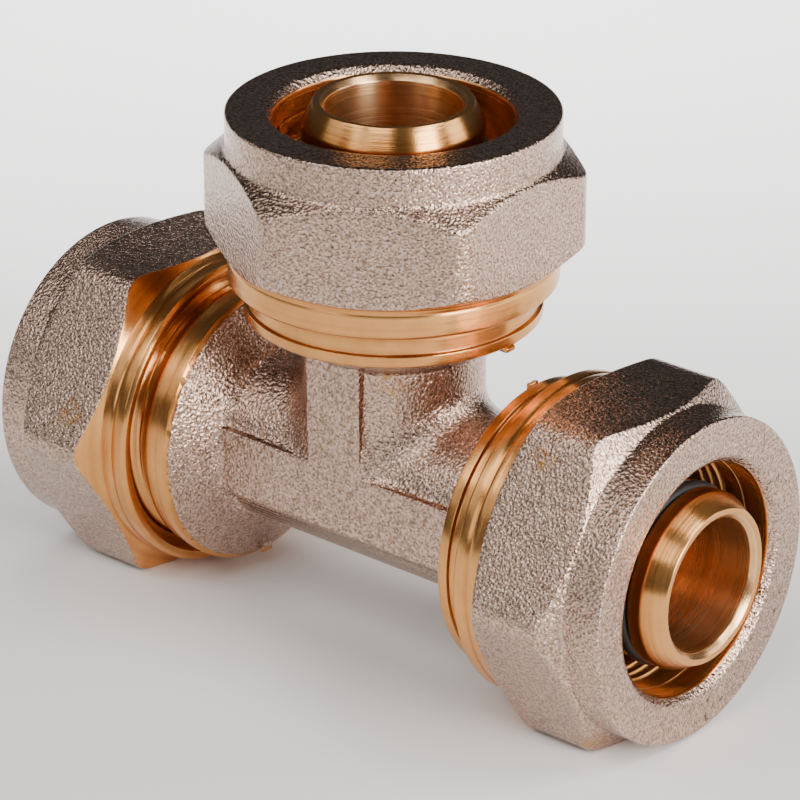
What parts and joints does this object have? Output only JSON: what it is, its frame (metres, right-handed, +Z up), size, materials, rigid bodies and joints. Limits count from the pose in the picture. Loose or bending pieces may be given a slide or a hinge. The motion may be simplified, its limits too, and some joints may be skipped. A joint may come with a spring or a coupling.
{
  "type": "compression tee",
  "caption": "Equal tee that joins plastic-lined pipes: a forged body with a bored spigot on each arm, and on each a hexagonal screwed nut over a split clamping ring.",
  "frame": {"origin": "on the surface that the tee stands on, right below the crossing of the run's and the branch's axes, which is 14.7 mm up", "axes": "+X along the run towards the right arm, +Y towards the back, +Z up along the branch"},
  "size_m": [0.0698, 0.0332, 0.0496],
  "materials": {
    "body_metal": "nickel-plated, shot-blasted forging with turned ends",
    "nut_metal": "nickel-plated, shot-blasted forging with turned ends",
    "ring_brass": "bare turned brass",
    "washer_plastic": "matt black",
    "o_ring_rubber": "satin black"
  },
  "bodies": {
    "tee": {"tee_body": "body_metal", "right_insulating_washer": "washer_plastic", "right_outer_o_ring": "o_ring_rubber", "right_inner_o_ring": "o_ring_rubber", "left_insulating_washer": "washer_plastic", "left_outer_o_ring": "o_ring_rubber", "left_inner_o_ring": "o_ring_rubber", "branch_insulating_washer": "washer_plastic", "branch_outer_o_ring": "o_ring_rubber", "branch_inner_o_ring": "o_ring_rubber"},
    "right_ring": {"right_split_ring": "ring_brass"},
    "left_ring": {"left_split_ring": "ring_brass"},
    "branch_ring": {"branch_split_ring": "ring_brass"},
    "right_nut": {"right_nut": "nut_metal"},
    "left_nut": {"left_nut": "nut_metal"},
    "branch_nut": {"branch_nut": "nut_metal"}
  },
  "joints": [
    {"name": "right_ring_travel", "type": "slide", "parent": "tee", "child": "right_ring", "axis": [1, 0, 0], "range_m": [-0.0008, 0.00455]},
    {"name": "right_nut_turn", "type": "hinge", "parent": "right_ring", "child": "right_nut", "pos_m": [0.02575, 0, 0.0147], "axis": [1, 0, 0], "range_deg": [-180, 1080]},
    {"name": "left_ring_travel", "type": "slide", "parent": "tee", "child": "left_ring", "axis": [-1, 0, 0], "range_m": [-0.00185, 0.0035]},
    {"name": "left_nut_turn", "type": "hinge", "parent": "left_ring", "child": "left_nut", "pos_m": [-0.0268, 0, 0.0147], "axis": [-1, 0, 0], "range_deg": [-432, 828]},
    {"name": "branch_ring_travel", "type": "slide", "parent": "tee", "child": "branch_ring", "axis": [0, 0, 1], "range_m": [-0.00125, 0.0041]},
    {"name": "branch_nut_turn", "type": "hinge", "parent": "branch_ring", "child": "branch_nut", "pos_m": [0, 0, 0.0409], "axis": [0, 0, 1], "range_deg": [-288, 972]}
  ],
  "couplings": [
    {"joint": "right_ring_travel", "follows": "right_nut_turn", "m_per_rad": 0.00023873},
    {"joint": "left_ring_travel", "follows": "left_nut_turn", "m_per_rad": 0.00023873},
    {"joint": "branch_ring_travel", "follows": "branch_nut_turn", "m_per_rad": 0.00023873}
  ]
}
